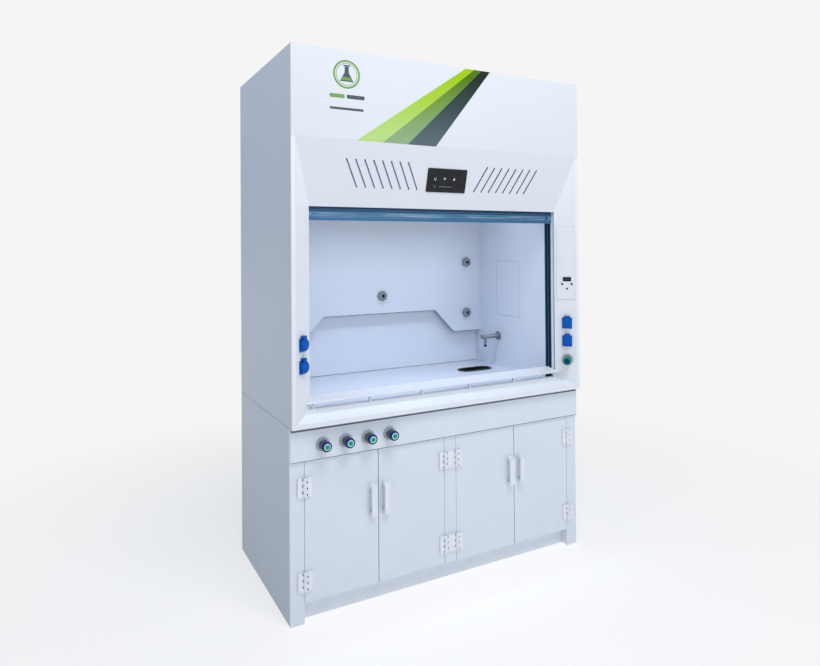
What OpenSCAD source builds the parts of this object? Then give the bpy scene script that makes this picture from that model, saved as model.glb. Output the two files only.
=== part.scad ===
// Walk-in height fume hood on a four-door base cabinet.
// Millimetres. Origin at the bottom centre of the footprint.
// +Z up, +X to the right of someone facing the hood, front face towards -Y.

/* [Overall] */
// Width over the side panels
hood_w = 1500; // [1460:10:1600]
// Depth from the front frame to the back panel
hood_d = 850; // [840:5:900]
// Height to the top of the roof, without the duct collar
hood_h = 2350; // [2350:10:2450]
// Height of the joint between cabinet and hood
seam_z = 797; // [797:1:797]
// Sheet thickness of the shell panels
sheet = 12; // [8:1:12]

/* [Front frame] */
// Width of the flat border beside the splayed posts
border = 18; // [16:1:20]
// Bottom edge of the flat header panel
header_z = 1977; // [1977:1:1977]
// Height of the lower edge of the opening
open_z0 = 861; // [861:1:861]
// Height of the upper edge of the opening
open_z1 = 1700; // [1700:1:1700]
// Half width of the opening
open_x = 652; // [652:1:652]
// Depth of the splay, front to back
splay_d = 75; // [75:1:75]
// Sheet thickness of the splayed panels
splay_t = 8; // [6:1:8]

/* [Sash] */
// Bottom edge of the open sash
sash_z = 1643; // [1640:1:1646]
// Height of the handle rail
rail_h = 60; // [54:1:62]
// Height of the finger groove
groove_h = 33; // [28:1:34]
// Height of the upper pane assembly
upper_h = 430; // [420:5:430]

/* [Slots and screen] */
// Slots on each side of the screen
slot_count = 8; // [4:1:8]
// Spacing of the slots
slot_pitch = 41.8; // [40:0.2:42]
// Width of one slot
slot_w = 7; // [5:0.5:9]
// Width of the touch screen
screen_w = 208; // [180:1:240]
// Height of the touch screen along the slope
screen_h = 110; // [90:1:120]

/* [Cabinet] */
// Height of the top edge of the doors
door_z1 = 655; // [655:1:655]
// Height of the bottom edge of the doors
door_z0 = 83.5; // [83.5:0.5:85]
// Door thickness
door_t = 15; // [12:1:15]
// Door front face
door_y = -387; // [-387:1:-387]
// Gap between a door and its neighbour
door_gap = 3; // [3:0.5:4]
// Height of the shelves
shelf_z = 370; // [320:5:400]
// Handle length
handle_l = 140; // [120:1:160]
// Handle width
handle_w = 26; // [20:1:28]
// How far a handle stands out
handle_out = 32; // [28:1:36]

/* [Services] */
// Spacing of the gas valves
valve_pitch = 101; // [90:1:110]
// Position of the leftmost valve
valve_x = -615; // [-620:1:-600]
// Height of the gas valves
valve_z = 720; // [715:1:730]
// Height of the centre of the upper sockets
socket_z1 = 1132; // [1130:1:1136]
// Height of the centre of the lower sockets
socket_z2 = 1041; // [1036:1:1043]
// Radius of the duct collar
duct_r = 125; // [100:5:125]
// Height of the duct collar above the roof
duct_up = 80; // [60:5:100]

/* [Hidden] */
$fn = 64;
hw = hood_w / 2;
hd = hood_d / 2;
iw = hw - sheet;
fw = hw - border;
fy = -hd;
oy = fy + splay_d;
top_rise = header_z - open_z1;
top_a = atan2(splay_d, top_rise);
top_l = sqrt(splay_d * splay_d + top_rise * top_rise);
side_dx = fw - open_x;
side_a = atan2(splay_d, -side_dx);
sill_z = seam_z + 20;
sill_a = atan2(open_z0 - sill_z, splay_d);
hinge_y = door_y - 9;
hinge_r = 8;
pin_r = 3;
collar_y = 260;
rear_y = 10 - door_y + 61.4;
stub_y = rear_y - 33.4;
roof_y = hd - sheet;
ceil_z = 2150;
lower_top = 2083;
upper_z = 1704;
worktop_z = 840;
stars = [[0, 1257], [-550, 1434], [550, 1434], [-550, 1136], [550, 1136]];
hinge_x = [-690, -30, 30, 690];
hinge_zs = [173, 554];
button_s = [22, 70, 46];
button_z = [1331, 1331, 1307.5];

// ---- helpers ----

// Box between two corners.
module box(a, b) {
    translate(a) cube([b[0] - a[0], b[1] - a[1], b[2] - a[2]]);
}

// Profile drawn as (y, z), swept along X.
module yz(x0, x1) {
    translate([x0, 0, 0]) rotate([90, 0, 90]) linear_extrude(x1 - x0) children();
}

// Profile drawn as (x, z), swept along Y.
module xz(y0, y1) {
    translate([0, y1, 0]) rotate([90, 0, 0]) linear_extrude(y1 - y0) children();
}

// Cylinder along Y.
module ycyl(x, y0, y1, z, r) {
    translate([x, y1, z]) rotate([90, 0, 0]) cylinder(r = r, h = y1 - y0);
}

// Right splayed post: X runs inward across the face, Y points out of it.
module on_post(side) {
    mirror([side < 0 ? 1 : 0, 0, 0])
        translate([fw, fy, 0]) rotate([0, 0, side_a]) children();
}

// Top splayed panel: Z runs up the slope from its upper edge, Y points behind it.
module on_top() {
    translate([0, fy, header_z]) rotate([top_a, 0, 0]) children();
}

// Rounded slot in the local X-Z plane, through Y.
module obround(w, h, y0, y1) {
    r = h / 2;
    translate([0, y1, 0]) rotate([90, 0, 0]) linear_extrude(y1 - y0) union() {
        translate([-(w / 2 - r), 0]) circle(r);
        translate([w / 2 - r, 0]) circle(r);
        translate([-(w / 2 - r), -r]) square([w - 2 * r, h]);
    }
}

// ---- base cabinet ----

module base_sides() {
    color("#eef0f5") for (s = [-1, 1])
        mirror([s < 0 ? 1 : 0, 0, 0]) box([iw, door_y + sheet, 0], [hw, hd, seam_z - 1]);
}

module base_back() {
    color("#eef0f5") difference() {
        box([-iw, hd - sheet, 0], [iw, hd, seam_z - 1]);
        for (i = [0:3]) ycyl(valve_x + i * valve_pitch, 400, 440, valve_z, 6.5);
        ycyl(464, 400, 440, 600, 18.5);
    }
}

module base_floor() {
    color("#eef0f5") {
        box([-iw, -344, 82], [iw, hd - sheet, 94]);
        box([-689, -371, 82], [689, -343, 94]);
    }
}

module base_dividers() {
    color("#eef0f5") {
        box([-6, -371, 94], [6, hd - sheet, seam_z]);
        box([-iw, -250, shelf_z], [-6.2, hd - sheet, shelf_z + 12]);
        box([6.2, -250, shelf_z], [iw, hd - sheet, shelf_z + 12]);
    }
}

module face_frame() {
    color("#f2f4f8") difference() {
        union() {
            for (s = [-1, 1]) mirror([s < 0 ? 1 : 0, 0, 0]) {
                box([690, door_y, 0], [hw, door_y + 12, seam_z - 1]);
                box([690, door_y + 11, 0], [702, -344, seam_z - 1]);
            }
            box([-30, door_y, 82], [30, door_y + 12, 660]);
            box([-691, door_y, 658], [691, door_y + 12, seam_z - 1]);
        }
        for (i = [0:3]) ycyl(valve_x + i * valve_pitch, -400, -370, valve_z, 14);
    }
}

module toe_kick() {
    color("#dfe3ec") box([-iw, -344, 0], [iw, -332, 82]);
}

module apron() {
    color("#f4f5f9") difference() {
        box([-hw, door_y - 10, 658], [hw, door_y, seam_z - 9]);
        for (i = [0:3]) ycyl(valve_x + i * valve_pitch, -400, -380, valve_z, 14);
    }
}

module door(i) {
    x0 = [-690, -360, 30, 360][i];
    x1 = [-360, -30, 360, 690][i];
    color("#f2f4f8")
        box([x0 + door_gap / 2, door_y, door_z0], [x1 - door_gap / 2, door_y + door_t, door_z1]);
}

module door_1() { door(0); }
module door_2() { door(1); }
module door_3() { door(2); }
module door_4() { door(3); }

// Bow handle with chamfered corners.
module handle(x) {
    z0 = 445 - handle_l / 2;
    z1 = 445 + handle_l / 2;
    yo = door_y - handle_out;
    yz(x - handle_w / 2, x + handle_w / 2) difference() {
        polygon([[door_y, z0], [yo + 13, z0], [yo, z0 + 14], [yo, z1 - 14], [yo + 13, z1],
            [door_y, z1]]);
        polygon([[door_y + 1, z0 + 18], [yo + 16, z0 + 18], [yo + 10, z0 + 24],
            [yo + 10, z1 - 24], [yo + 16, z1 - 18], [door_y + 1, z1 - 18]]);
    }
}

// Half of a butt hinge about a vertical pin at the origin. The leaf runs to +X.
module half_hinge(first, bore) {
    step = 76 / 6;
    difference() {
        union() {
            difference() {
                box([hinge_r + 0.4, -1, -38], [30, 9, 38]);
                for (k = [1 - first:2:5]) box([hinge_r - 1, -2, -38 + k * step + 1.8],
                    [hinge_r + 5, 5, -38 + (k + 1) * step - 1.8]);
            }
            for (k = [first:2:5]) translate([0, 0, -38 + k * step + 0.2]) {
                cylinder(r = hinge_r, h = step - 0.4);
                box([0, 4, 0], [hinge_r + 0.5, 8, step - 0.4]);
            }
        }
        translate([0, 0, -40]) cylinder(r = bore, h = 80);
    }
}

module hinge_leaves() {
    color("#f7f8fa") for (i = [0:3]) for (z = hinge_zs) translate([hinge_x[i], hinge_y, z]) {
        mirror([i % 2 == 0 ? 1 : 0, 0, 0]) half_hinge(0, pin_r);
        translate([0, 0, -39]) cylinder(r = pin_r, h = 78);
    }
}

module fittings(i) {
    color("#f7f8fa") {
        handle([-390, -330, 330, 390][i]);
        for (z = hinge_zs) translate([hinge_x[i], hinge_y, z])
            mirror([i % 2 == 0 ? 0 : 1, 0, 0]) half_hinge(1, pin_r + 0.05);
    }
}

module door_fittings_1() { fittings(0); }
module door_fittings_2() { fittings(1); }
module door_fittings_3() { fittings(2); }
module door_fittings_4() { fittings(3); }

// ---- worktop and sink ----

module worktop() {
    color("#eef1f8") difference() {
        union() {
            box([-iw, -360, seam_z], [iw, hd - sheet, worktop_z]);
            box([-open_x, -360, worktop_z], [open_x, -352, worktop_z + 4.5]);
        }
        translate([464, 120, 0]) rotate([-90, 0, 0]) obround(194, 88, -900, -700);
    }
}

module cup_sink() {
    color("#17181a") translate([464, 120, 0]) {
        difference() {
            union() {
                rotate([-90, 0, 0]) obround(208, 102, -worktop_z - 4, -worktop_z);
                rotate([-90, 0, 0]) obround(193, 87, -worktop_z - 0.5, -700);
                translate([0, 0, 640]) cylinder(r = 20, h = 62);
            }
            rotate([-90, 0, 0]) obround(181, 75, -worktop_z - 10, -706);
            translate([0, 0, 635]) cylinder(r = 15, h = 80);
        }
        translate([0, 0, 520]) difference() {
            cylinder(r = 38, h = 120);
            translate([0, 0, 5]) cylinder(r = 33, h = 108);
            translate([0, 0, 100]) cylinder(r = 15, h = 30);
        }
        ycyl(0, 37, rear_y - 120, 600, 18);
        ycyl(0, stub_y - 120, rear_y - 120, 600, 20);
    }
}

// ---- hood shell ----

module hood_side() {
    color("#eef0f5") box([iw, fy + sheet, seam_z], [hw, hd, hood_h]);
}

module hood_side_right() { hood_side(); }
module hood_side_left() { mirror([1, 0, 0]) hood_side(); }

module hood_back() {
    color("#eef0f5") box([-iw, hd - sheet, seam_z], [iw, hd, hood_h]);
}

module roof() {
    color("#eef0f5") difference() {
        box([-iw, fy + sheet, hood_h - sheet], [iw, roof_y, hood_h]);
        translate([0, collar_y, hood_h - 50]) cylinder(r = duct_r, h = 100);
    }
}

module duct_collar() {
    color("#e4e7ee") translate([0, collar_y, 0]) difference() {
        union() {
            translate([0, 0, ceil_z]) cylinder(r = duct_r, h = hood_h + duct_up - ceil_z);
            translate([0, 0, hood_h]) cylinder(r = duct_r + 22, h = 5);
        }
        translate([0, 0, ceil_z - 1]) cylinder(r = duct_r - 6, h = 600);
    }
}

module header_panel() {
    color("#f6f7fa") box([-hw, fy, header_z], [hw, fy + sheet, hood_h]);
}

module front_bezel() {
    color("#f6f7fa") difference() {
        box([-hw, fy, seam_z], [hw, fy + sheet, header_z]);
        box([-fw, fy - 1, sill_z], [fw, fy + 20, header_z + 1]);
    }
}

// Picture-frame mitre of one side of the splay, seen from the front.
module mitre(pts) {
    intersection() {
        children();
        xz(fy - 1, fy + splay_d + 30) polygon(pts);
    }
}

module top_slots(side) {
    for (i = [0:slot_count - 1]) {
        a = side < 0 ? -506 + i * slot_pitch : 502 - i * slot_pitch;
        b = side < 0 ? -446 + i * slot_pitch : 440 - i * slot_pitch;
        len = sqrt((b - a) * (b - a) + 124 * 124);
        translate([(a + b) / 2, 0, -139]) rotate([0, atan2(124, b - a), 0])
            obround(len, slot_w, -5, 20);
    }
}

module top_splay() {
    color("#f2f4fa") mitre([[-fw, header_z], [fw, header_z], [open_x, open_z1],
        [-open_x, open_z1]]) on_top() difference() {
        box([-fw, 0, -top_l], [fw, splay_t, 20]);
        top_slots(-1);
        top_slots(1);
        box([-screen_w / 2 + 8 - 6, -5, -207 + 8], [screen_w / 2 - 8 - 6, 20, -97 - 8]);
    }
}

module splay_post(side) {
    color("#eceff8") mitre([[side * fw, sill_z], [side * fw, header_z],
        [side * open_x, open_z1], [side * open_x, open_z0]]) on_post(side) difference() {
        box([-20, -splay_t, sill_z - 5], [110, 0, header_z + 5]);
        for (z = [socket_z1, socket_z2]) box([24, -20, z - 24], [70, 5, z + 24]);
        if (side > 0) {
            box([14, -20, 1290], [88, 5, 1392]);
            translate([47, 0, 946]) rotate([90, 0, 0]) cylinder(r = 14, h = 30, center = true);
        }
    }
}

module splay_left() { splay_post(-1); }
module splay_right() { splay_post(1); }

module sill() {
    color("#f2f4fa") mitre([[-fw, sill_z], [fw, sill_z], [open_x, open_z0],
        [-open_x, open_z0]]) translate([-fw, fy, sill_z]) rotate([sill_a, 0, 0])
        box([0, -20, -splay_t], [2 * fw, sqrt(splay_d * splay_d + pow(open_z0 - sill_z, 2)), 0]);
}

module liners() {
    color("#e9edf8") {
        for (s = [-1, 1]) mirror([s < 0 ? 1 : 0, 0, 0])
            box([open_x, -338.5, worktop_z], [open_x + 10, -323, open_z1 + 40]);
        box([-open_x - 8, -272, worktop_z], [-open_x, roof_y, ceil_z]);
        difference() {
            box([open_x, -272, worktop_z], [open_x + 8, roof_y, ceil_z]);
            box([open_x - 1, -50, 1135], [open_x + 3, 170, 1443]);
            box([open_x - 1, -30, 1155], [open_x + 20, 150, 1423]);
            translate([open_x - 5, 155, 1010]) rotate([0, 90, 0]) cylinder(r = 13, h = 30);
        }
    }
}

module access_panel() {
    color("#edf0f8") box([open_x, -49.5, 1135.5], [open_x + 3, 169.5, 1442.5]);
}

module ceiling() {
    color("#e9edf8") difference() {
        box([-open_x - 8, -270, ceil_z], [open_x + 8, roof_y, ceil_z + 8]);
        translate([0, collar_y, ceil_z - 5]) cylinder(r = duct_r, h = 30);
    }
}

// ---- baffles ----

module upper_baffle() {
    color("#eef1fa") difference() {
        xz(345, 353) polygon([[-650, 1028], [-465, 1028], [-340, 1160], [340, 1160],
            [465, 1028], [650, 1028], [650, 2060], [-650, 2060]]);
        for (p = stars) ycyl(p[0], 340, 360, p[1], 4.1);
    }
}

module lower_baffle() {
    color("#e8ecf7") difference() {
        box([-650, 385, worktop_z + 2], [650, 393, 1300]);
        for (p = stars) ycyl(p[0], 380, 400, p[1], 9.2);
    }
}

// Star knobs on studs that hold the baffle off the back panel.
module star_knob(x, z) {
    ycyl(x, 353, roof_y, z, 9);
    ycyl(x, 344, 354, z, 4);
    ycyl(x, 323, 345, z, 16);
    for (i = [0:5]) translate([x, 0, z]) rotate([0, i * 60, 0]) ycyl(19, 327, 345, 0, 9.5);
}

module baffle_knobs() {
    color("#8b9097") for (p = stars) star_knob(p[0], p[1]);
}

// ---- airfoil and sash ----

module airfoil() {
    color("#f1f4fb") {
        intersection() {
            yz(-700, 700) polygon([[-372, 880.5], [-374.5, 883.5], [-372, 887], [-340, 893],
                [-300, 899.3], [-287, 900], [-285, 898.5], [-285, 889], [-288, 889],
                [-288, 896.3], [-300, 895.5], [-340, 889], [-369, 883.2]]);
            linear_extrude(1000) polygon([[-open_x - 27, -376], [open_x + 27, -376],
                [open_x - 0.5, -350.5], [open_x - 0.5, -280], [-open_x + 0.5, -280],
                [-open_x + 0.5, -350.5]]);
        }
        for (x = [-640, -384, -128, 128, 384, 640])
            yz(x - 5, x + 5) polygon([[-362, 854.0], [-350.1, 861.0], [-350.1, 887.1],
                [-362, 884.6]]);
    }
}

// Guide with a front and a rear track.
module guide_profile() {
    difference() {
        polygon([[open_x, -322], [690, -322], [690, -274], [open_x, -274]]);
        translate([open_x - 1, -318.5]) square([11, 17]);
        translate([open_x - 1, -296.5]) square([11, 17]);
    }
}

module sash_guides() {
    color("#20304f") for (s = [-1, 1]) mirror([s < 0 ? 1 : 0, 0, 0])
        translate([0, 0, worktop_z]) linear_extrude(ceil_z - worktop_z) guide_profile();
}

module sash_lower_frame() {
    color("#3f74a6") {
        difference() {
            box([-open_x + 2, -328, sash_z], [open_x - 2, -299, sash_z + rail_h]);
            translate([0, 0, sash_z + rail_h / 2 - 2]) obround(1270, groove_h, -340, -316);
        }
        for (s = [-1, 1]) mirror([s < 0 ? 1 : 0, 0, 0])
            box([open_x - 14, -318, sash_z + rail_h], [open_x + 9, -302, lower_top]);
        box([-open_x + 14, -318, lower_top - 20], [open_x - 14, -302, lower_top]);
        for (x = [-640, 640]) box([x - 3, -330, lower_top], [x + 3, -302, lower_top + 25]);
    }
}

module sash_lower_glass() {
    color("#bcd6e6", 0.3)
        box([-open_x + 14, -313, sash_z + rail_h], [open_x - 14, -307, lower_top - 20]);
}

module sash_upper_frame() {
    color("#3f74a6") difference() {
        box([-open_x - 9, -296, upper_z], [open_x + 9, -280, upper_z + upper_h]);
        box([-open_x + 14, -300, upper_z + 20], [open_x - 14, -270, upper_z + upper_h - 20]);
    }
}

module sash_upper_glass() {
    color("#bcd6e6", 0.3)
        box([-open_x + 14, -291, upper_z + 20], [open_x - 14, -285, upper_z + upper_h - 20]);
}

module counterweights() {
    color("#5a5f66") for (s = [-1, 1]) mirror([s < 0 ? 1 : 0, 0, 0])
        box([695, -335, 850], [732, -275, 1413]);
}

// ---- screen, controls and small fittings ----

module touch_panel() {
    color("#0c0e10") on_top() {
        box([-screen_w / 2 - 6, -2.5, -207], [screen_w / 2 - 6, 0, -97]);
        box([-screen_w / 2 + 8.5 - 6, 0, -198.5], [screen_w / 2 - 8.5 - 6, 34, -105.5]);
    }
}

module control_cover() {
    color("#f1f3fa") on_post(1) difference() {
        union() {
            box([5, 0, 1252], [97, 2.5, 1626]);
            box([16, -24, 1340], [86, 0, 1372]);
        }
        box([25, 1, 1345], [66, 5, 1367]);
        for (i = [0:2]) translate([button_s[i], 0, button_z[i]]) rotate([90, 0, 0])
            cylinder(r = 4.3, h = 20, center = true);
    }
}

module button(i) {
    color("#141518") on_post(1) translate([button_s[i], 4, button_z[i]]) rotate([90, 0, 0]) {
        cylinder(r = 4, h = 9);
        translate([0, 0, 4.2]) cylinder(r = 5.5, h = 2);
    }
}

module button_left() { button(0); }
module button_right() { button(1); }
module button_low() { button(2); }

module screws() {
    color("#aeb4bd") {
        on_post(1) for (z = [1276, 1602]) translate([10, 2.5, z]) rotate([-90, 0, 0])
            cylinder(r = 3.4, h = 1.4);
        for (y = [-42, 162]) translate([open_x, y, 1290]) rotate([0, -90, 0])
            cylinder(r = 4, h = 1.5);
        for (s = [-1, 1]) on_post(s) for (z = [socket_z1, socket_z2]) for (dx = [-20, 20])
            for (dz = [-24.5, 24.5]) translate([47 + dx, 3.4, z + dz]) rotate([-90, 0, 0])
                cylinder(r = 2.6, h = 1.2);
    }
}

module tap() {
    color("#9aa1aa") {
        translate([open_x + 30, 155, 1010]) rotate([0, -90, 0]) {
            cylinder(r = 12, h = 145);
            translate([0, 0, 30]) cylinder(r = 25, h = 7);
            translate([0, 0, 37]) cylinder(r = 16, h = 10);
        }
        translate([560, 155, 975]) cylinder(r = 8, h = 30);
        translate([560, 155, 955]) difference() {
            cylinder(r = 6.5, h = 20);
            translate([0, 0, -1]) cylinder(r = 4, h = 15);
        }
    }
}

// Socket with a round well. The lid turns on a pin above it.
module socket_base(z) {
    translate([47, 0, z]) {
        difference() {
            union() {
                box([-25, 0, -28], [25, 4, 28]);
                box([-23, -30, -23], [23, 4, 23]);
                box([-21, 3, -22], [21, 8, 22]);
                for (x = [-13, 7]) box([x, 0, 28 - 1], [x + 6, 8.5, 37.5]);
                for (x = [-13, 7]) translate([x, 8.5, 33]) rotate([0, 90, 0])
                    cylinder(r = 4.5, h = 6);
                translate([-13, 8.5, 33]) rotate([0, 90, 0]) cylinder(r = 1.5, h = 26);
            }
            translate([0, 10, 0]) rotate([90, 0, 0]) cylinder(r = 19.5, h = 19);
            for (x = [-20, 20]) for (zz = [-24.5, 24.5]) translate([x, 14, zz])
                rotate([90, 0, 0]) cylinder(r = 2.7, h = 10.6);
            for (x = [-9.5, 9.5]) translate([x, 0, 0]) rotate([90, 0, 0])
                cylinder(r = 2.6, h = 24);
        }
    }
}

module socket_bases() {
    color("#1c5fc4") for (s = [-1, 1]) for (z = [socket_z1, socket_z2]) on_post(s) socket_base(z);
}

module lid(side, z) {
    color("#2a6fd6") on_post(side) translate([47, 8.5, z + 33]) difference() {
        union() {
            box([-22, 0.3, -56], [22, 9, -8]);
            box([-16, 8, -50], [16, 15, -14]);
            box([-6.7, -3, -9], [6.7, 4, 0]);
            translate([-6.7, 0, 0]) rotate([0, 90, 0]) cylinder(r = 4.2, h = 13.4);
        }
        translate([-10, 0, 0]) rotate([0, 90, 0]) cylinder(r = 1.55, h = 20);
        box([-19, 0.2, -52], [19, 5, -13]);
    }
}

module lid_left_top() { lid(-1, socket_z1); }
module lid_left_low() { lid(-1, socket_z2); }
module lid_right_top() { lid(1, socket_z1); }
module lid_right_low() { lid(1, socket_z2); }

// Rosette, neck and the pipe behind it, along -Y from the panel face.
module valve_body(len, body, stub) {
    rotate([90, 0, 0]) {
        cylinder(r = 29, h = 6);
        cylinder(r = 24, h = 11);
        cylinder(r = 15.5, h = 34);
        cylinder(r = 4, h = 44);
        translate([0, 0, -body]) cylinder(r = 13, h = body + 1);
        translate([0, 0, -len]) cylinder(r = 6, h = len);
        translate([0, 0, -len]) cylinder(r = stub, h = 33.4);
    }
}

// Knob with a ring and a domed centre, around its own axis.
module knob() {
    rotate([90, 0, 0]) translate([0, 0, 34.4]) difference() {
        union() {
            cylinder(r1 = 18, r2 = 21, h = 6);
            translate([0, 0, 6]) cylinder(r = 21, h = 16);
            translate([0, 0, 22]) cylinder(r1 = 21, r2 = 18, h = 3);
            translate([0, 0, 25]) cylinder(r = 12, h = 2);
            for (i = [0:7]) rotate([0, 0, i * 45]) translate([20, 0, 4]) cylinder(r = 3, h = 17);
        }
        translate([0, 0, -1]) cylinder(r = 4.05, h = 12);
    }
}

module valve_bodies() {
    color("#7d838b") {
        for (i = [0:3]) translate([valve_x + i * valve_pitch, door_y - 10, valve_z])
            valve_body(rear_y - door_y + 10, 60, 8);
        on_post(1) translate([47, 0, 946]) mirror([0, 1, 0]) valve_body(30, 28, 6);
    }
}

module gas_knob(i) {
    color("#1b2f6e") translate([valve_x + i * valve_pitch, door_y - 10, valve_z]) knob();
}

module gas_knob_1() { gas_knob(0); }
module gas_knob_2() { gas_knob(1); }
module gas_knob_3() { gas_knob(2); }
module gas_knob_4() { gas_knob(3); }

module water_knob() {
    color("#1d7a52") on_post(1) translate([47, 0, 946]) mirror([0, 1, 0]) knob();
}

base_sides();
base_back();
base_floor();
base_dividers();
face_frame();
toe_kick();
apron();
worktop();
cup_sink();
hood_side_left();
hood_side_right();
hood_back();
roof();
duct_collar();
header_panel();
front_bezel();
top_splay();
splay_left();
splay_right();
sill();
liners();
ceiling();
upper_baffle();
lower_baffle();
baffle_knobs();
airfoil();
sash_guides();
touch_panel();
control_cover();
access_panel();
screws();
tap();
socket_bases();
valve_bodies();
hinge_leaves();
sash_lower_frame();
sash_lower_glass();
sash_upper_frame();
sash_upper_glass();
counterweights();
button_left();
button_right();
button_low();
lid_left_top();
lid_left_low();
lid_right_top();
lid_right_low();
gas_knob_1();
gas_knob_2();
gas_knob_3();
gas_knob_4();
water_knob();
door_1();
door_2();
door_3();
door_4();
door_fittings_1();
door_fittings_2();
door_fittings_3();
door_fittings_4();
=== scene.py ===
"""Looks of a floor-standing fume hood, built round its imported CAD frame.

Lengths in the piece functions are millimetres and become metres in build().
+X right, -Y out of the front, +Z up.
"""

import math

import bpy
import numpy as np
from mathutils import Matrix, Vector


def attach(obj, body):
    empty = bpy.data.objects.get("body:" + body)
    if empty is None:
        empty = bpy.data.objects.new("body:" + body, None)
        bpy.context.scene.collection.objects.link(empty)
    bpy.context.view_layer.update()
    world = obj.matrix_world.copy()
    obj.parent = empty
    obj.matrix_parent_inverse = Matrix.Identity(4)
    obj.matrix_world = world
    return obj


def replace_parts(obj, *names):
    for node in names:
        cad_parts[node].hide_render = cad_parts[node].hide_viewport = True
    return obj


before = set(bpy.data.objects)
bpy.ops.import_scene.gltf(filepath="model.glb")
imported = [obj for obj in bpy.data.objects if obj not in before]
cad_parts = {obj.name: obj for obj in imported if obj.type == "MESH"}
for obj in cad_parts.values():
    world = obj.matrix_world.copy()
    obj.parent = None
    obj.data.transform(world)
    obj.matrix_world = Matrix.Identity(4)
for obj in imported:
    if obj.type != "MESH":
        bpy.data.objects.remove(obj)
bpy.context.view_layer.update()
scene = bpy.context.scene
scene.view_settings.view_transform = "Standard"

# ---------------------------------------------------------------- main sizes, in mm

MM = 0.001                          # metres in one
HOOD_H = 2350                       # top of the roof
FRONT_Y, BACK_Y = -425, 425         # front of the header, and the face of the back panel
APRON_Y = -397                      # front of the apron
BAFFLE_Y = 345                      # front of the rear baffle
BORDER_X, OPEN_X = 732, 652         # outer and inner edge of a splayed post
HEADER_Z = 1977                     # lower edge of the header
OPEN_Z1 = 1700                      # upper edge of the opening
RAIL_Z = 1643                       # lower edge of the raised sash
SPLAY_D = 75                        # depth of the splay
POST_W = BORDER_X - OPEN_X
TOP_RISE = HEADER_Z - OPEN_Z1
SLOPE = math.hypot(SPLAY_D, TOP_RISE)
VALVE_X, VALVE_PITCH, VALVE_Z = -615, 101, 720
WATER_Z = 946
SOCKET_U, SOCKET_Z = 47, {"top": 1132, "low": 1041}
BUTTONS = {"left": (22, 1331), "right": (70, 1331), "low": (46, 1307.5)}
STARS = [(0, 1257), (-550, 1434), (550, 1434), (-550, 1136), (550, 1136)]
HINGE_X, HINGE_Z = (-690, -30, 30, 690), (173, 554)
LEAF_H, KNUCKLES = 76, 6

# ---------------------------------------------------------------- camera

eye = bpy.data.cameras.new("eye")
eye_obj = bpy.data.objects.new("eye", eye)
scene.collection.objects.link(eye_obj)
scene.camera = eye_obj


def aim(yaw, pitch, roll):
    """Camera turn: yaw right of +Y, pitch up, roll about the view line, in degrees."""
    a, e, r = (math.radians(v) for v in (yaw, pitch, roll))
    ahead = Vector((math.sin(a) * math.cos(e), math.cos(a) * math.cos(e), math.sin(e)))
    side = ahead.cross(Vector((0, 0, 1))).normalized()
    up = side.cross(ahead)
    side2 = side * math.cos(r) + up * math.sin(r)
    up2 = up * math.cos(r) - side * math.sin(r)
    return Matrix((side2, up2, -ahead)).transposed()


stand = Matrix.Translation((-1.55, -3.0124, 1.5246))
eye_obj.matrix_world = stand @ aim(30.0, 0.62, -0.44).to_4x4()
eye.lens = 29.07
eye.sensor_width = 36.0
eye.shift_x = -0.039
eye.shift_y = -0.1134
eye.clip_start = 0.05

# ---------------------------------------------------------------- shader sums


class Wire:
    """A node output that takes Python arithmetic, each step a Math node."""

    def __init__(self, finish, socket):
        self.finish, self.socket = finish, socket

    def _sum(self, op, a, b=None, c=None):
        vals = {i: v for i, v in enumerate((a, b, c)) if v is not None}
        return self.finish.node("ShaderNodeMath", {"operation": op}, vals)

    def __add__(self, o):
        return self._sum("ADD", self, o)

    def __radd__(self, o):
        return self._sum("ADD", o, self)

    def __sub__(self, o):
        return self._sum("SUBTRACT", self, o)

    def __rsub__(self, o):
        return self._sum("SUBTRACT", o, self)

    def __mul__(self, o):
        return self._sum("MULTIPLY", self, o)

    def __rmul__(self, o):
        return self._sum("MULTIPLY", o, self)

    def __truediv__(self, o):
        return self._sum("DIVIDE", self, o)

    def __abs__(self):
        return self._sum("ABSOLUTE", self)

    def step(self, sharp):
        """0 below zero, 1 above it, over a width of 1 / sharp."""
        m = self._sum("MULTIPLY_ADD", self, sharp, 0.5)
        m.socket.node.use_clamp = True
        return m

    def span(self, lo, hi):
        """0 at lo, 1 at hi, clamped."""
        m = self._sum("MULTIPLY_ADD", self, 1.0 / (hi - lo), -lo / (hi - lo))
        m.socket.node.use_clamp = True
        return m


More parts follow.
